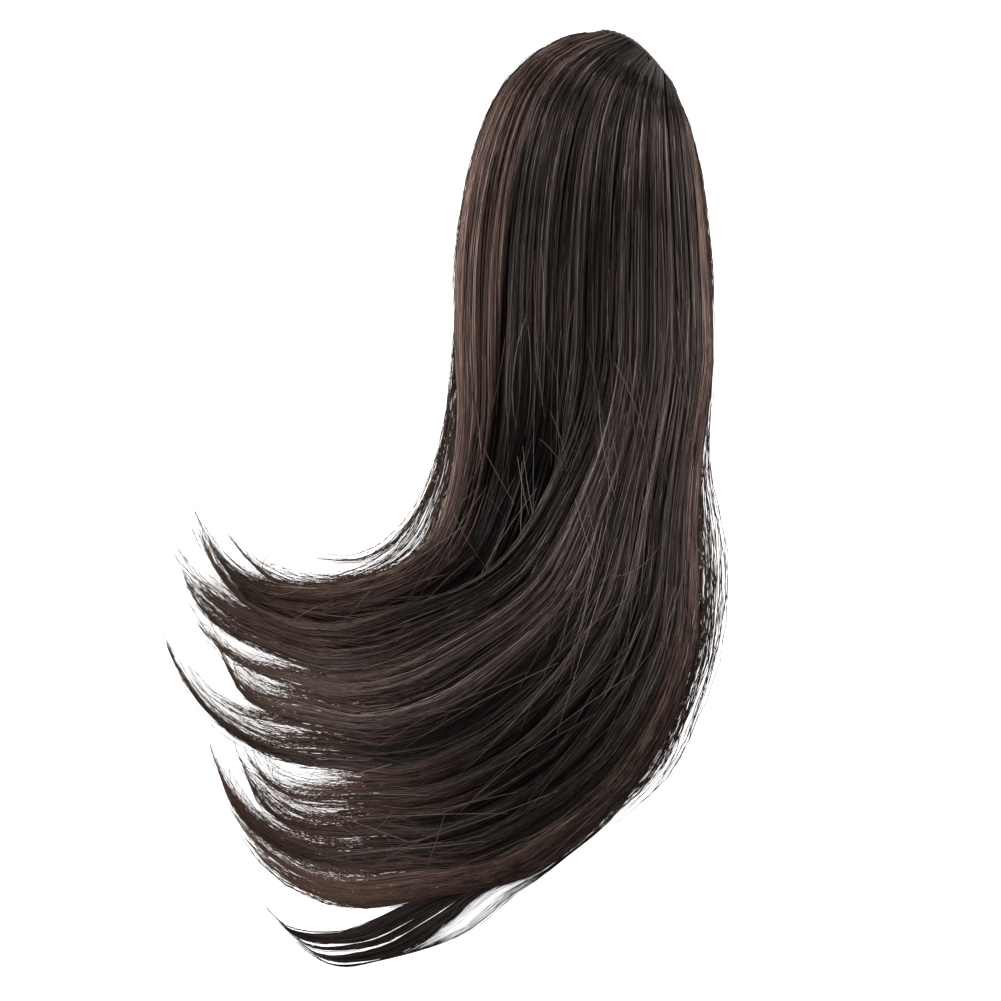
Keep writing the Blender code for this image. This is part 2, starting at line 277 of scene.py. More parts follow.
core = hair_slab("hair_core", CORE_EDGES, CORE_END, 48, 110, core_top, core_bottom)
cut_for_clip(core)
# Near-black and without gloss: painted shade where the core shows between the strands and in the partings.
core_material, _ = new_material(
    "painted_shade_hair", {"Base Color": (0.006, 0.0045, 0.004, 1.0), "Roughness": 1.0, "Specular IOR Level": 0.0}
)
core.data.materials.append(core_material)
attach(core, "root")
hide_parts("outer_weft")


# The strands of the outer layer: silky synthetic fibres, sewn side by side along the seam in fine clumps. The
# outer half fans out over the rest below the middle, and all of them gather into pointed locks at the ends.
# The lock along the inner edge and the hair at the outer edge are redder than the rest.
rng = np.random.default_rng(7)
STEPS = 27
EDGE_STEPS = 22
FIBRE_HALF_WIDTH = 0.2
# Each fibre is this wide at places along it, as shares of its length and of its width.
TAPER = ((0.0, 0.02, 0.78, 1.0), (0.7, 1.0, 1.0, 0.4))
TONE_ACROSS_FIBRE = 0.004
CLUMPS = 430
PARTINGS = 31
FINE_PARTINGS = 83
PARTING_WIDTH = 0.26
PARTING_DEPTH = 4.6
FINE_PARTING_DEPTH = 1.8
# The fan opens from this row, over as many rows, and the hair from this place at the seam lies on top of it.
FAN_OPENS = 4.0
FAN_SPREAD = 0.85
FOLD = 0.45

# Free ends. Each lock takes a part of the width at the tail. Its dense line keeps to a lane as far as a row,
# then bends up to its tip. Its other strands comb out on the upper side of that line. The columns are the low
# and high side of its part, lane, row of the turn, bend (across, along), tip (across, along) and the share of
# its strands that reach the tip.
TAIL_ROW = 8.8
LOCKS = np.array((
    (-0.10, 0.125, 0.12, 8.3, 0.13, 9.6, -0.07, 8.9, 0.06),
    (0.125, 0.19, 0.185, 9.2, 0.19, 10.5, 0.03, 9.9, 0.12),
    (0.19, 0.25, 0.24, 9.6, 0.25, 11.0, -0.01, 9.94, 0.16),
    (0.25, 0.31, 0.29, 10.2, 0.28, 11.3, 0.225, 11.45, 0.12),
    (0.31, 0.38, 0.36, 10.0, 0.335, 11.7, 0.22, 11.42, 0.22),
    (0.38, 0.45, 0.44, 10.1, 0.43, 11.3, 0.36, 11.6, 0.08),
    (0.45, 0.55, 0.54, 10.6, 0.50, 11.5, 0.395, 11.2, 0.12),
    (0.55, 0.66, 0.65, 11.2, 0.66, 12.6, 0.58, 12.79, 0.40),
    (0.66, 0.74, 0.74, 10.8, 0.75, 11.6, 0.66, 11.6, 0.20),
    (0.74, 0.83, 0.835, 10.9, 0.81, 11.9, 0.685, 11.74, 0.28),
    (0.83, 0.90, 0.895, 11.5, 0.90, 12.5, 0.76, 12.42, 0.32),
    (0.90, 0.955, 0.95, 11.2, 0.96, 12.3, 0.88, 12.5, 0.28),
    (0.955, 1.50, 1.00, 11.0, 1.02, 12.2, 0.94, 12.4, 0.36),
))
SUB_LOCKS = 5
SUB_LOCK_JITTER = (0.006, 0.45)
GATHER_LENGTH = 2.5
ROW_IN_WIDTHS = 10.0
WILD_SHARE = 0.05
FEATHERED_SHARE = 0.3

# The loose hair outside the dense edges: rows along the fall, then the courses' low and high edges across it.
# The hems are the lowest hair of the crown's two sides, which hangs to the ground.
INNER_HEM = (
    (0.0, 0.12, 0.25, 0.5, 1.0, 2.5, 4.5),
    (-0.02, -0.08, -0.095, -0.07, -0.025, -0.02, -0.01),
    (0.01, -0.03, -0.05, -0.03, 0.01, 0.01, 0.02),
)
INNER_FRINGE = (
    (4.0, 5.0, 6.0, 6.6, 7.2, 7.8, 8.4, 9.0),
    (0.01, -0.005, -0.003, 0.005, 0.025, 0.05, 0.09, 0.11),
    (0.03, 0.05, 0.07, 0.11, 0.11, 0.12, 0.14, 0.17),
)
INNER_WISP = (
    (4.5, 6.0, 7.0, 7.4, 7.75, 8.05, 8.25),
    (0.0, -0.01, -0.01, -0.012, -0.045, -0.085, -0.13),
    (0.02, 0.02, 0.02, 0.03, 0.01, -0.01, -0.06),
)
OUTER_HEM = (
    (0.0, 1.0, 2.5, 4.5),
    (0.965, 0.975, 0.98, 0.95),
    (1.005, 1.005, 1.005, 0.97),
)
OUTER_FRINGE = (
    (1.0, 3.0, 4.4, 5.0, 5.6, 6.2, 6.8, 7.4, 8.2, 9.0),
    (0.98, 0.98, 0.95, 0.94, 0.92, 0.935, 0.955, 0.96, 0.98, 0.98),
    (1.0, 1.01, 0.99, 1.0, 1.04, 1.055, 1.045, 1.025, 1.02, 1.02),
)
# For each piece with loose hair: how far it wanders, how it leans to the high side, its half widths, and its
# courses. Each course has a number of strands, the rows where they begin and where they end, and their height
# as shares of the crest.
LOOSE_HAIR = {
    "left_lock_hair": (0.004, (1.1, 1.0), (0.08, 0.17), (
        (INNER_HEM, 120, (-0.02, 0.3), (2.0, 4.5), (0.02, 0.6)),
        (INNER_FRINGE, 90, (3.6, 5.0), (7.2, 9.4), (0.3, 1.0)),
        (INNER_WISP, 30, (3.6, 5.0), (7.5, 8.2), (0.3, 1.0)),
    )),
    "right_edge_hair": (0.006, (0.8, 1.9), (0.1, 0.2), (
        (OUTER_HEM, 120, (-0.02, 0.3), (2.0, 4.5), (0.02, 0.6)),
        (OUTER_FRINGE, 40, (0.3, 2.5), (3.0, 5.5), (0.3, 1.0)),
        (OUTER_FRINGE, 130, (4.0, 6.2), (6.4, 9.0), (0.3, 1.0)),
    )),
}

# Hair colour, by a strand's tone, from near-black to the fine light brown of the strands that catch the eye.
HAIR_TONES = (
    (0.0, (0.0060, 0.0045, 0.0040)),
    (0.3, (0.0210, 0.0155, 0.0140)),
    (0.6, (0.0600, 0.0450, 0.0400)),
    (0.85, (0.1400, 0.1080, 0.0970)),
    (1.0, (0.2500, 0.1950, 0.1760)),
)
RED_HAIR_TONES = (
    (0.0, (0.0080, 0.0050, 0.0042)),
    (0.3, (0.0320, 0.0200, 0.0165)),
    (0.6, (0.0900, 0.0570, 0.0470)),
    (0.85, (0.1900, 0.1250, 0.1030)),
    (1.0, (0.3000, 0.2050, 0.1700)),
)
TIP_COLOR = (0.125, 0.070, 0.050, 1.0)
# Where the tail and the tip begin along a strand, how fast the tail's painted sheen and shade and the tip's
# colour come in, and how strong the tip's colour is.
TAIL_START = 0.45
TAIL_GAIN = 4.0
TIP_START = 0.87
TIP_GAIN = 7.5
TIP_STRENGTH = 0.8


class Value:
    """A shader socket that can be used in sums: numbers and other values go in, Math nodes come out."""

    def __init__(self, tree, socket):
        self.tree = tree
        self.socket = socket

    @classmethod
    def node(cls, tree, kind, settings=None, inputs=None, out=0):
        made = tree.nodes.new(kind)
        for name, setting in (settings or {}).items():
            if name == "stops":
                ramp = made.color_ramp
                while len(ramp.elements) < len(setting):
                    ramp.elements.new(0.5)
                for element, (position, color) in zip(ramp.elements, setting):
                    element.position = position
                    element.color = (*color, 1.0)
            else:
                setattr(made, name, setting)
        for name, value in (inputs or {}).items():
            if isinstance(value, Value):
                tree.links.new(value.socket, made.inputs[name])
            else:
                made.inputs[name].default_value = value
        return cls(tree, made.outputs[out])

    def _math(self, operation, *values):
        return Value.node(self.tree, "ShaderNodeMath", {"operation": operation}, dict(enumerate(values)))

    def __add__(self, other):
        return self._math("ADD", self, other)

    def __sub__(self, other):
        return self._math("SUBTRACT", self, other)

    def __rsub__(self, other):
        return self._math("SUBTRACT", other, self)

    def __mul__(self, other):
        return self._math("MULTIPLY", self, other)

    __radd__ = __add__
    __rmul__ = __mul__

    def clamp(self):
        return self._math("MINIMUM", self._math("MAXIMUM", self, 0.0), 1.0)


def hair_material(name, tones, roughness, painted_tail_light):
    """Synthetic hair fibre. Each strand carries its tone across its UV map, and the map runs along it."""
    made, shader = new_material(name, {"Roughness": roughness, "Metallic": 0.6, "Specular IOR Level": 0.2})
    tree = made.node_tree
    uv = Value.node(tree, "ShaderNodeUVMap", {"uv_map": "OFBake"})
    tone = Value.node(tree, "ShaderNodeSeparateXYZ", inputs={"Vector": uv})
    along = Value(tree, tone.socket.node.outputs["Y"])
    body = Value.node(tree, "ShaderNodeValToRGB", {"stops": tones}, {"Fac": tone})
    # The tail's colour is scaled by the tail level: above 1 a painted sheen, below 1 painted shade.
    level = 1.0 - ((along - TAIL_START) * TAIL_GAIN).clamp() * (1.0 - painted_tail_light)
    shaded = Value.node(
        tree, "ShaderNodeVectorMath", {"operation": "SCALE"}, {"Vector": body, "Scale": level}
    )
    to_tip = ((along - TIP_START) * TIP_GAIN).clamp() * TIP_STRENGTH
    mixed = Value.node(
        tree, "ShaderNodeMix", {"data_type": "RGBA"}, {"Factor": to_tip, "A": shaded, "B": TIP_COLOR}, out=2
    )
    tree.links.new(mixed.socket, shader.inputs["Base Color"])
    return made


def bezier(start, bend, end, t):
    return (1 - t) ** 2 * start + 2 * t * (1 - t) * bend + t**2 * end


def waves(count, frequency, along, key, drift=0.5):
    """Smooth noise with one value for each strand and step: key places a strand among its neighbours."""
    total = np.zeros(np.broadcast(key, along).shape)
    for _ in range(count):
        turns = frequency * rng.uniform(0.5, 1.5)
        slide = rng.normal(0.0, drift)
        total += np.sin(2 * np.pi * (turns * key + slide * along) + rng.uniform(0, 2 * np.pi))
    return total / math.sqrt(count)


def partings(number, along, root):
    """Narrow partings between locks: 1 in the middle of one, 0 between two of them."""
    phase = number * root + 0.7 * waves(3, 2.0, along, root, 0.10)
    which = np.round(phase)
    strength = 0.2 + 0.8 * np.sin(which * 12.9898) ** 2
    strength = strength * (0.65 + 0.35 * np.sin(1.3 * along + which * 4.1))
    return strength * np.exp(-((np.sin(np.pi * phase) / PARTING_WIDTH) ** 2))


def swept(root, along):
    """Where a strand has got to across the fall, from its place at the seam."""
    fan = ease((along - FAN_OPENS) / FAN_OPENS) * FAN_SPREAD
    over = 1 - (1 - root) * (1 + fan)
    under = root * (1 - 0.5 * fan)
    return under + (over - under) * ease((root - FOLD) / 0.1)


def strand_mesh(name, groups, material, lateral=None, map_length=1.0):
    """Thin three-cornered fibres, open underneath, tapered to both ends, as one mesh.

    Each group is (paths in mm, half widths in mm, tones of strands or of their steps), and its paths all have
    as many steps."""
    corners, quads, uvs = [], [], []
    first = 0
    for paths, half_width, tone in groups:
        count, steps, _ = paths.shape
        forward = np.gradient(paths, axis=1)
        forward /= np.linalg.norm(forward, axis=2, keepdims=True) + 1e-12
        if lateral is None:
            side = np.cross(forward, np.array((0.0, 0.0, 1.0)))
        else:
            side = np.broadcast_to(lateral, forward.shape)
        side = side / (np.linalg.norm(side, axis=2, keepdims=True) + 1e-9)
        up = np.cross(side, forward)
        t = np.linspace(0.0, 1.0, steps)
        width = half_width[:, None, None] * np.interp(t, *TAPER)[None, :, None]
        rings = np.stack([paths - side * width, paths + up * width * 0.9, paths + side * width], axis=2)
        u = tone.reshape(count, -1, 1) + np.array((-TONE_ACROSS_FIBRE, 0.0, TONE_ACROSS_FIBRE))
        u = np.broadcast_to(np.clip(u, 0.002, 0.998), (count, steps, 3))
        v = np.broadcast_to(map_length * t[None, :, None], (count, steps, 3))
        corners.append(rings.reshape(-1, 3))
        uvs.append(np.stack([u, v], axis=-1).reshape(-1, 2))
        base = first + np.arange(count * steps).reshape(count, steps)[:, :-1, None] * 3
        for a in (base, base + 1):
            quads.append(np.concatenate([a, a + 1, a + 4, a + 3], axis=2).reshape(-1, 4))
        first += count * steps * 3
    corners, faces, uvs = np.concatenate(corners), np.concatenate(quads), np.concatenate(uvs)
    mesh = bpy.data.meshes.new(name)
    mesh.vertices.add(len(corners))
    mesh.vertices.foreach_set("co", (corners * MM).ravel())
    mesh.loops.add(faces.size)
    mesh.loops.foreach_set("vertex_index", faces.ravel())
    mesh.polygons.add(len(faces))
    mesh.polygons.foreach_set("loop_start", np.arange(len(faces)) * 4)
    mesh.update(calc_edges=True)
    mesh.shade_smooth()
    mesh.uv_layers.new(name="OFBake").data.foreach_set("uv", uvs[faces.ravel()].ravel())
    mesh.materials.append(material)
    obj = bpy.data.objects.new(name, mesh)
    bpy.context.scene.collection.objects.link(obj)
    return obj


def strand_courses(root):
    """Where each strand runs, as (across, along) at its steps, with its clump and its place in its lock: near
    1 at the upper side, near 0 at the dense line."""
    count = len(root)
    seat = root[:, None]
    clump = np.clip((root * CLUMPS).astype(int), 0, CLUMPS - 1)
    middle = ((clump + 0.5) / CLUMPS)[:, None]
    start = seam_line(root) + 0.03 * rng.random(CLUMPS)[clump] + 0.02 * rng.random(count)
    start = start[:, None]

    # The lock that a strand ends in, and its place there.
    tail_across = within_margins(swept(root, TAIL_ROW), TAIL_ROW) + rng.normal(0.0, 0.008, count)
    lock = np.clip(np.searchsorted(LOCKS[:, 0], tail_across) - 1, 0, len(LOCKS) - 1)
    low, high, lane, turn, bend_across, bend_along, tip_across, tip_along, long_share = (
        column[:, None] for column in LOCKS[lock].T
    )
    low, high = np.maximum(low, 0.09), np.minimum(high, 1.02)
    spot = np.clip((tail_across[:, None] - LOCKS[lock, 0:1]) / (high - low), 0.0, 0.999)
    sub = np.clip((spot * SUB_LOCKS).astype(int), 0, SUB_LOCKS - 1)
    jitter = rng.normal(0.0, 1.0, (len(LOCKS), SUB_LOCKS, 2)) * SUB_LOCK_JITTER
    sub_shift, sub_end = (np.clip(jitter[lock[:, None], sub, part], -0.4, 0.3) for part in range(2))
    upward = 1 - (sub + 0.5) / SUB_LOCKS

    # The row that it would reach if it ran straight on. Some strands are long, the others end on the way.
    reach = 0.85 * (
        np.hypot(ROW_IN_WIDTHS * (bend_across - lane), bend_along - turn)
        + np.hypot(ROW_IN_WIDTHS * (tip_across - bend_across), tip_along - bend_along)
    )
    lock_end = turn + reach - 1.3 * upward + sub_end
    long = rng.random((count, 1)) < long_share * np.where(upward < 0.25, 1.3, 0.4)
    short = np.where(
        long,
        np.abs(rng.normal(0.0, 0.35, (count, 1))),
        (0.13 + 0.25 * upward) * reach + rng.random((count, 1)) * (0.75 * reach + 0.5),
    )
    wild = rng.random((count, 1)) * (rng.random((count, 1)) < WILD_SHARE)
    end = lock_end - short + 0.7 * wild
    run = start + (end - start) * np.linspace(0.0, 1.0, STEPS)

    # Down the fall it stays in its clump, with slow and fast waves.
    along = np.minimum(run, np.maximum(tip_along, turn))
    held = 0.35 + 0.3 * np.sin(along * 1.7 + clump[:, None] * 2.4)
    across = within_margins(swept(seat + (middle - seat) * held, along), along)
    across += 0.0032 * waves(4, 22, along, middle, 0.16) * ease(along / 2.5)
    across += 0.0016 * waves(4, 260, along, seat, 0.3) * ease(along / 2)
    across += 0.0011 * waves(3, 600, along, seat, 1.6) * ease((along - 1) / 2)

    # Near its end it is pulled to the lock's bent line.
    bend = np.clip((run - turn) / reach, 0.0, 1.2)
    line_across = bezier(lane, bend_across, tip_across, bend) - upward * ((high - low) * 0.9) + sub_shift
    line_along = np.where(run < turn, run, bezier(turn, bend_along, tip_along, bend))
    gather_length = GATHER_LENGTH - 0.8 * upward
    gather = (run - lock_end + gather_length) / (0.75 * gather_length)
    tight = rng.uniform(0.82, 1.0, (count, 1)) - 0.4 * (rng.random((count, 1)) < 0.12) - 0.3 * wild
    pull = tight * ease(gather)
    across += (line_across - across) * pull
    along += (line_along - along) * pull

    # The last of it curls up and away, much so on feathered and wild strands.
    feathered = rng.random((count, 1)) < FEATHERED_SHARE
    tip_curl = rng.normal(0.004, 0.007, (count, 1)) + feathered * np.abs(rng.normal(0.0, 0.035, (count, 1)))
    tip_curl += 0.12 * wild * rng.normal(0.3, 0.7, (count, 1))
    across -= tip_curl * np.clip((run - end + 1.2) / 1.2, 0.0, 1.0) ** 2
    return across, along, clump, upward


def outer_strands(root, layer):
    """Paths of strands of the outer layer in mm, from their places at the seam and their layers, with their
    clumps and how much painted shade each of their steps gets."""
    across, along, clump, upward = strand_courses(root)
    seat = root[:, None]
    layer = layer[:, None]
    middle = ((clump + 0.5) / CLUMPS)[:, None]
    height = crest(across, along)
    relief = 0.9 * waves(5, 14, along, middle, 0.10) + 0.4 * waves(5, 60, along, middle, 0.15)
    parted, fine_parted = (partings(number, along, seat) for number in (PARTINGS, FINE_PARTINGS))
    relief -= PARTING_DEPTH * parted + FINE_PARTING_DEPTH * fine_parted
    relief *= np.clip((height - 4) / 18, 0.15, 1.0)
    fan = ease((along - FAN_START) / 1.2)
    over = ease((seat - FOLD) / 0.08)
    dip = hollow_depth(across, along) * (1 - fan * over) + fan_dip(across, along) * (1 - over)
    z = height + relief - dip - layer * (height - 2.0) + 0.35 * waves(3, 300, along, seat, 0.5)
    z = np.maximum(z, 0.5 + 1.2 * rng.random((len(root), 1)))
    inset = 0.5 + (across - 0.5) * (1 - 0.10 * layer * ease((8 - along) / 3))

    # Painted shade: strands in partings and hollows, and in the tail those at each lock's upper side, in the
    # shadow of the lock above, get darker tones.
    crown_steps = slice(4, 18)
    shade = (parted + 0.4 * fine_parted)[:, crown_steps].mean(axis=1)[:, None] + 0.06 * dip
    shade = shade + 0.45 * (upward - 0.4) * ease((along - 6.5) / 1.5) * ease((11.0 - along) / 1.5)
    return np.dstack([ground(inset, along), z]), clump, shade


def root_places(count, low, high):
    """Places at the seam, spread evenly over the arch so that its steep flanks are covered too."""
    turn = np.cos(rng.uniform(0.0, math.pi, count * 16))
    place = 0.5 - 0.5 * np.sign(turn) * np.abs(turn) ** 0.85
    place = place[(place >= low) & (place < high)]
    return place[:count]


def layers(count):
    """How deep each strand lies, 0 at the surface and 1 at the ground. Most lie close to the surface."""
    shallow = rng.random(count) ** 2 * 0.12
    deep = rng.random(count)
    return np.where(rng.random(count) < 0.72, shallow, deep)


def edge_strands(count, course, spread, starts, ends, height, lean):
    """Loose strands that follow a course of (along, across) rows, each in its own part of it."""
    begin = rng.uniform(*starts, count)[:, None]
    finish = rng.uniform(*ends, count)[:, None]
    along = begin + (finish - begin) * np.linspace(0.0, 1.0, EDGE_STEPS)
    place = rng.beta(*lean, (count, 1))
    low = np.interp(along, course[0], course[1])
    high = np.interp(along, course[0], course[2])
    wander = waves(3, 9, along, place, 0.25) * spread + waves(3, 60, along, place, 0.3) * spread
    wander += 0.0035 * waves(3, 200, along, place, 1.8)
    across = low + (high - low) * place + wander
    z = crest(np.clip(across, 0.02, 0.98), along) * rng.uniform(*height, (count, 1))
    z = np.maximum(z, 0.6 + rng.random((count, 1)))
    return np.dstack([ground(across, along), z])


# The last value scales each strand's tail: above 1 a painted sheen, below 1 painted shade. These are lit and
# shaded copies of one hair.
hair = hair_material("silky_dark_hair", HAIR_TONES, 0.34, 0.7)
painted_sheen_tail = hair_material("silky_dark_hair_brown_tail", HAIR_TONES, 0.34, 1.55)
painted_shade_hair = hair_material("silky_dark_hair_painted_shade_tail", HAIR_TONES, 0.34, 0.4)
red_hair = hair_material("silky_reddish_hair", RED_HAIR_TONES, 0.36, 1.5)
edge_hair = hair_material("silky_reddish_hair_painted_shade_tail", RED_HAIR_TONES, 0.36, 0.85)
# Each piece: its part of the seam, how many strands it has, their tone, material and slot.
OUTER_PIECES = (
    ("left_lock_hair", 0.00, 0.185, 1150, 0.55, red_hair, "reddish_hair"),
    ("middle_hair", 0.185, 0.50, 1350, 0.43, hair, "dark_hair"),
    ("sweep_hair", 0.50, 0.74, 1800, 0.40, painted_sheen_tail, "dark_hair"),
    ("right_hair", 0.74, 0.955, 1850, 0.46, painted_shade_hair, "dark_hair"),
    ("right_edge_hair", 0.955, 1.0001, 850, 0.42, edge_hair, "dark_hair"),
)
LIGHTEST_TONE = 0.92
clump_tone = rng.normal(0.0, 0.065, CLUMPS)
for name, low, high, count, tone_level, material, slot_name in OUTER_PIECES:
    root = root_places(count, low, high)
    layer = layers(len(root))
    paths, clump, shade = outer_strands(root, layer)
    band = 0.08 * np.sin(root * 41.0) + 0.07 * np.sin(root * 97.0 + 1.3)
    # Strands that lie deeper get darker tones, as painted shade; so do those in partings, hollows and under
    # the next lock.
    tone = tone_level + band + clump_tone[clump] + rng.normal(0.0, 0.19, len(root)) - 1.25 * layer
    tone = np.minimum(tone[:, None] - 0.85 * shade, LIGHTEST_TONE)
    groups = [(paths, FIBRE_HALF_WIDTH * rng.uniform(0.6, 1.25, len(root)), tone)]
    if name in LOOSE_HAIR:
        spread, lean, half_widths, courses = LOOSE_HAIR[name]
        for course, number, starts, ends, height in courses:
            loose = edge_strands(number, course, spread, starts, ends, height, lean)
            groups.append((loose, rng.uniform(*half_widths, number), rng.uniform(0.15, 0.6, number)))
    piece = strand_mesh(name, groups, material)
    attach(piece, "root")
    if name == "left_lock_hair":
        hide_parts("left_lock")
    if name == "sweep_hair":
        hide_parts("sweep_lock")


# The under layer: the same synthetic hair, sewn to the clip's near jaw, which lies flat below the outer layer
# and shows as the bottom lock. Its strands run in three bands with gaps between them, a few cross the gaps,
# and some lie loose below, and their tails are darkened as painted shade. A flat mass fills the rest of the
# layer, out of sight, near-black without gloss as painted shade.

# The rows follow the bottom lock to its tip, as x and y in mm of its upper edge, its lower edge and the
# outermost loose strand.
BOTTOM_LOCK = np.array((
    (95.0, -100.0, 110.0, -95.0, 112.0, -98.0),
    (70.0, -148.0, 84.0, -150.0, 88.0, -152.0),
    (40.0, -176.0, 48.0, -184.0, 56.0, -181.5),
    (12.0, -190.0, 18.0, -196.0, 33.0, -199.5),
    (-16.5, -201.0, 0.0, -211.0, 12.5, -216.0),
    (-46.5, -214.5, -20.0, -225.5, -10.5, -225.0),
    (-63.5, -217.0, -41.0, -232.0, -38.0, -232.0),
    (-78.5, -215.0, -58.5, -233.0, -52.0, -234.5),
    (-87.5, -209.0, -69.5, -227.0, -65.0, -231.5),
    (-102.0, -193.0, -82.5, -216.0, -78.0, -222.0),
))
BOTTOM_STEPS = 26
# Each band from its upper to its lower side (1 to 2 is the loose part), its number of strands, how far they
# gather to a point, and how thick they are.
BOTTOM_BANDS = (
    (0.0, 0.40, 360, 1.0, 1.0),
    (0.44, 0.60, 160, 1.0, 1.0),
    (0.66, 1.0, 240, 1.0, 1.0),
    (-0.03, 1.03, 24, 0.0, 1.0),
    (1.02, 1.97, 50, 0.0, 0.5),
)
UNDER_EDGES = (0.04, 0.96)
UNDER_END = ((0.0, 1.0), (7.0, 9.2))
UNDER_THICKNESS = 4.6


def under_top(across, along):
    end = np.interp(across, *UNDER_END) + 0.4
    thinning = np.clip((end - along) / 1.5, 0.0, 1.0) ** 0.6
    return 1.0 + UNDER_THICKNESS * thinning * ease(across / 0.08) * ease((1 - across) / 0.06)


def under_bottom(across, along):
    return np.full(along.shape, 0.3)


under_groups = []
for low, high, count, gathered, thickness in BOTTOM_BANDS:
    place = rng.uniform(low, high, (count, 1))
    long = rng.random((count, 1)) < 0.45
    missing = np.where(
        long, np.abs(rng.normal(0.0, 0.035, (count, 1))), rng.uniform(0.05, 0.5, (count, 1))
    )
    run = (1 - missing) * np.linspace(0.0, 1.0, BOTTOM_STEPS)
    point = 0.55 * low + 0.45 * high
    gather = ease((run - 0.5) / 0.45) * rng.uniform(0.6, 1.0, (count, 1)) * gathered
    across = place + (point - place) * gather
    across = across + 0.012 * waves(3, 2.5, run * 3, place, 0.4)
    across = across + 0.02 * waves(3, 40, run * 4, place, 1.5)
    path = curve_at(BOTTOM_LOCK, np.clip(run, 0.0, 1.0) * (len(BOTTOM_LOCK) - 1))
    upper, lower, outermost = path[..., 0:2], path[..., 2:4], path[..., 4:6]
    inside = np.clip(across, -0.05, 1.0)[..., None]
    beyond = np.clip(across - 1.0, 0.0, 1.05)[..., None]
    flat = upper + (lower - upper) * inside + (outermost - lower) * beyond
    body = 1 - 0.7 * np.abs(2 * np.clip(across, 0, 1) - 1)
    z = 0.8 + (5.5 * (1 - run) + 1.5) * body * rng.random((count, 1))
    tone = rng.normal(0.40, 0.17, count)
    under_groups.append((np.dstack([flat, z]), thickness * rng.uniform(0.15, 0.23, count), tone))
under_hair = strand_mesh("under_hair", under_groups, painted_shade_hair)
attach(under_hair, "root")
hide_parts("inner_weft")

under_core = hair_slab("under_core", UNDER_EDGES, UNDER_END, 30, 60, under_top, under_bottom)
cut_for_clip(under_core)
under_core.data.materials.append(core_material)
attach(under_core, "root")
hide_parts("inner_weft")


# The back of the crown: the same silky synthetic hair, sewn along the seam, which turns over the ridge and
# runs straight down the far side of the clip to the ground. The photograph doesn't show it.
CAP_STRANDS = 900
CAP_STEPS = 12
CAP_BULGE = 0.03
CAP_MAP_LENGTH = 0.4
cap_root = rng.uniform(0.005, 0.995, CAP_STRANDS)[:, None]
drop = np.linspace(0.0, 1.0, CAP_STEPS)[None, :]
cap_along = seam_line(cap_root) - 0.012 + 0.08 * np.clip(1 - drop / 0.12, 0, 1)
bulge = CAP_BULGE * np.sin(np.pi * np.clip(drop * 1.05, 0, 1))
cap_along = cap_along - bulge * (0.6 + 0.8 * rng.random((CAP_STRANDS, 1)))
cap_top = crest(cap_root, np.zeros((CAP_STRANDS, 1)))
cap_z = 0.6 + (cap_top - 0.4) * (1 - np.clip((drop - 0.06) / 0.94, 0, 1)) ** 1.05
cap_across = cap_root + 0.008 * waves(3, 12, drop * 3, cap_root, 0.3)
cap_across = cap_across + 0.006 * waves(3, 150, drop * 2, cap_root, 0.6)
cap_paths = np.dstack([ground(cap_across, cap_along), cap_z])
cap_half_widths = rng.uniform(0.18, 0.26, CAP_STRANDS)
cap_tones = rng.normal(0.24, 0.18, CAP_STRANDS)
cap = strand_mesh(
    "crown_back_hair",
    [(cap_paths, cap_half_widths, cap_tones)],
    hair,
    np.append(seam_direction(), 0.0),
    CAP_MAP_LENGTH,
)
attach(cap, "root")


# The stray strands: single fibres that have slipped out of their clumps and lie over the rest at all angles,
# the clearest of them in the hollow, with one small curl, and single hairs that fan out past the tips.

# Each row is one strand through three points on the ground, as x and y in mm.
STRAYS = (
    (0.5, 7.5, 4.0, -12.0, 19.5, -36.0),
    (16.0, 4.0, 23.0, -4.0, 31.5, -14.5),
    (33.5, 20.5, 37.0, 1.0, 39.5, -9.0),
    (17.0, 24.5, 24.0, 11.0, 32.5, -3.5),
    (32.5, 10.5, 28.0, 2.0, 23.5, -6.5),
    (44.5, 29.0, 50.0, 24.0, 56.5, 15.5),
    (79.0, 20.5, 73.0, 17.0, 67.0, 11.5),
    (79.0, -38.5, 93.0, -35.0, 105.0, -22.0),
    (29.0, -68.5, 25.0, -78.0, 21.5, -88.0),
    (47.5, -71.5, 41.0, -82.0, 34.5, -94.5),
)
CURL_CENTRE = (65.0, -5.5)
CURL_RADII = (5.0, 4.5)
STRAY_STEPS = 9
STRAY_LIFT = 2.6
STRAY_HALF_WIDTH = 0.13
SCATTERED = 190
SCATTERED_LEFT_LIMIT = -120.0
TIP_HAIRS = 230
TIP_HAIR_STEPS = 12
TIP_HAIR_LEFT_LIMIT = -150.0


def surface_height(x, y):
    """The height of the hair's surface over points on the ground, in mm."""
    across_grid, along_grid = np.meshgrid(np.linspace(0.02, 0.98, 60), np.linspace(0.2, 11.5, 240))
    grid = ground(across_grid, along_grid)
    tops = crest(across_grid, along_grid) - 0.5 * fan_dip(across_grid, along_grid)
    heights = np.empty(np.shape(x))
    for index in np.ndindex(heights.shape):
        distance = (grid[..., 0] - x[index]) ** 2 + (grid[..., 1] - y[index]) ** 2
        nearest = np.unravel_index(distance.argmin(), distance.shape)
        heights[index] = tops[nearest]
    return heights


stray_t = np.linspace(0.0, 1.0, STRAY_STEPS)[None, :, None]
points = np.array(STRAYS).reshape(-1, 3, 2)
bends = 2 * points[:, 1:2] - 0.5 * points[:, 0:1] - 0.5 * points[:, 2:3]
placed_flat = bezier(points[:, 0:1], bends, points[:, 2:3], stray_t)

curl_turn = np.linspace(-0.6, 5.4, STRAY_STEPS)
curl_x = CURL_CENTRE[0] + CURL_RADII[0] * np.cos(curl_turn)
curl_y = CURL_CENTRE[1] + CURL_RADII[1] * np.sin(curl_turn)
curl_flat = np.stack([curl_x, curl_y], axis=-1)[None]

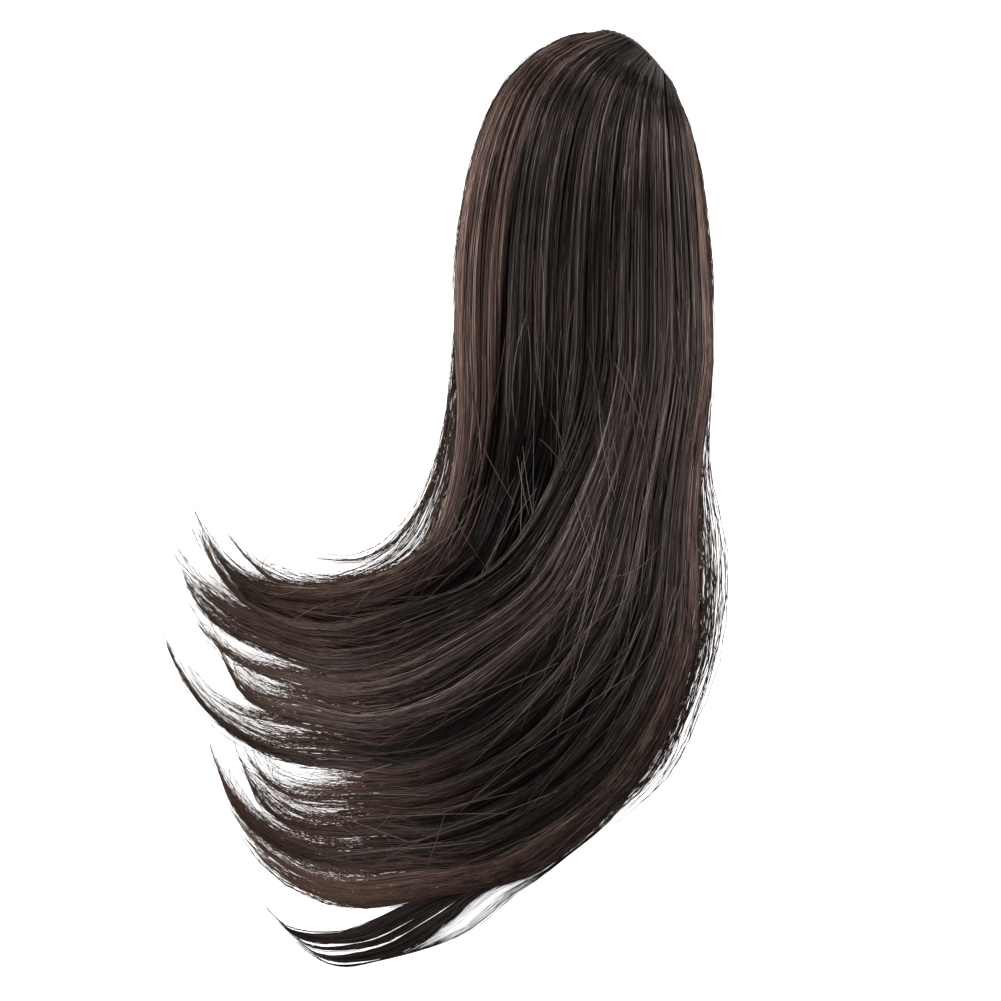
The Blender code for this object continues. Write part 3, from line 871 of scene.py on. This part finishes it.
scatter_along = rng.uniform(3.0, 10.4, SCATTERED)
scatter_across = rng.uniform(0.1, 0.95, SCATTERED)
begin = ground(scatter_across, scatter_along)
finish_across = scatter_across + rng.normal(0.02, 0.05, SCATTERED)
finish = ground(finish_across, scatter_along + rng.uniform(0.6, 2.2, SCATTERED))
sag = rng.normal(0.0, 2.0, (SCATTERED, 1, 2))
scatter_flat = begin[:, None] + (finish - begin)[:, None] * stray_t + sag * 4 * stray_t * (1 - stray_t)
scatter_flat = scatter_flat[scatter_flat[..., 0].min(axis=1) > SCATTERED_LEFT_LIMIT]

stray_flat = np.concatenate([placed_flat, curl_flat, scatter_flat])
stray_z = surface_height(stray_flat[..., 0], stray_flat[..., 1]) + STRAY_LIFT
stray_paths = np.dstack([stray_flat, stray_z])
stray_tones = rng.uniform(0.5, 0.9, len(stray_paths))

picked = LOCKS[rng.integers(0, len(LOCKS), TIP_HAIRS)]
lane, turn, bend_across, bend_along, tip_across, tip_along = (column[:, None] for column in picked.T[2:8])
tip_t = np.linspace(0.0, 1.0, TIP_HAIR_STEPS)
leave_across = lane - rng.uniform(0.0, 0.09, (TIP_HAIRS, 1))
leave_along = turn - rng.uniform(-0.4, 1.4, (TIP_HAIRS, 1))
swing = rng.normal(0.0, 0.035, (TIP_HAIRS, 1))
arrive_across = tip_across - 0.02 + 2.0 * swing
arrive_along = tip_along + rng.uniform(-1.1, 0.35, (TIP_HAIRS, 1))
hair_across = bezier(leave_across, bend_across + swing, arrive_across, tip_t)
hair_along = bezier(leave_along, bend_along, arrive_along, tip_t)
hair_z = crest(np.clip(hair_across, 0.02, 0.98), hair_along) * rng.uniform(0.3, 1.0, (TIP_HAIRS, 1))
tip_paths = np.dstack([ground(hair_across, hair_along), np.maximum(hair_z, 0.8)])
tip_paths = tip_paths[tip_paths[..., 0].min(axis=1) > TIP_HAIR_LEFT_LIMIT]
tip_half_widths = rng.uniform(0.07, 0.12, len(tip_paths))
tip_tones = rng.uniform(0.2, 0.6, len(tip_paths))

stray_groups = [
    (stray_paths, np.full(len(stray_paths), STRAY_HALF_WIDTH), stray_tones),
    (tip_paths, tip_half_widths, tip_tones),
]
strays = strand_mesh("stray_hair", stray_groups, hair)
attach(strays, "root")


# The claw clip: one moulded piece of dark plastic with a satin surface, inside the crown. Both layers of hair
# are sewn to it. It is the frame's own solid.
clip_plastic, plastic = new_material("satin_clip_plastic", {"Base Color": (0.012, 0.010, 0.010, 1.0)})
plastic_tree = clip_plastic.node_tree
moulding = Value.node(plastic_tree, "ShaderNodeTexNoise", inputs={"Scale": 900.0, "Detail": 3.0})
plastic_tree.links.new((moulding * 0.12 + 0.24).socket, plastic.inputs["Roughness"])
grain = Value.node(
    plastic_tree, "ShaderNodeBump", inputs={"Strength": 0.08, "Distance": 0.0002, "Height": moulding}
)
plastic_tree.links.new(grain.socket, plastic.inputs["Normal"])
for material_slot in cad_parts["claw_clip"].material_slots:
    material_slot.material = clip_plastic


# The setting: a sheet of white paper just under the hair, soft studio light from four sides, and the camera
# straight above, as far off as makes the photograph's width.
FLOOR_HALF_SIZE = 4.0
FLOOR_DROP = 0.0005
floor_mesh = bpy.data.meshes.new("floor")
floor_shape = bmesh.new()
bmesh.ops.create_grid(floor_shape, x_segments=1, y_segments=1, size=FLOOR_HALF_SIZE)
floor_shape.to_mesh(floor_mesh)
floor_shape.free()
floor = bpy.data.objects.new("floor", floor_mesh)
bpy.context.scene.collection.objects.link(floor)
floor.location.z = -FLOOR_DROP
paper, _ = new_material(
    "white_paper",
    {
        "Base Color": (0.93, 0.93, 0.925, 1.0),
        "Roughness": 0.9,
        "Emission Color": (1.0, 1.0, 1.0, 1.0),
        "Emission Strength": 1.0,
    },
)
floor_mesh.materials.append(paper)

world = bpy.data.worlds.new("studio")
world.use_nodes = True
world.node_tree.nodes["Background"].inputs["Color"].default_value = (1.0, 1.0, 1.0, 1.0)
world.node_tree.nodes["Background"].inputs["Strength"].default_value = 0.07
bpy.context.scene.world = world

# Each softbox: its place, the point that it faces, both in m, and its power in W.
SOFTBOX_SIZE = 0.7
SOFTBOXES = (
    ("key_softbox", (-1.5, 0.3, 1.3), (0.0, 0.0, 0.0), 28.0),
    ("fill_softbox", (1.5, 0.2, 1.2), (0.0, 0.0, 0.0), 25.0),
    ("top_softbox", (-0.5, 1.6, 1.3), (0.0, 0.0, 0.0), 15.0),
    ("front_softbox", (-0.6, -1.5, 1.2), (-0.05, 0.0, 0.0), 14.0),
)
for name, place, aim, power in SOFTBOXES:
    light = bpy.data.lights.new(name, "AREA")
    light.shape = "RECTANGLE"
    light.size = SOFTBOX_SIZE
    light.size_y = SOFTBOX_SIZE
    light.energy = power
    softbox = bpy.data.objects.new(name, light)
    bpy.context.scene.collection.objects.link(softbox)
    softbox.location = place
    softbox.rotation_euler = (Vector(aim) - Vector(place)).to_track_quat("-Z", "Y").to_euler()

CAMERA_HEIGHT = 2.6
PHOTO_WIDTH = 0.5005
camera_data = bpy.data.cameras.new("camera")
camera = bpy.data.objects.new("camera", camera_data)
bpy.context.scene.collection.objects.link(camera)
camera.location = (0.02525, -0.00125, CAMERA_HEIGHT)
camera_data.sensor_width = 36.0
camera_data.lens = camera_data.sensor_width * CAMERA_HEIGHT / PHOTO_WIDTH
camera_data.clip_end = 20.0
bpy.context.scene.camera = camera
bpy.context.scene.view_settings.view_transform = "Standard"
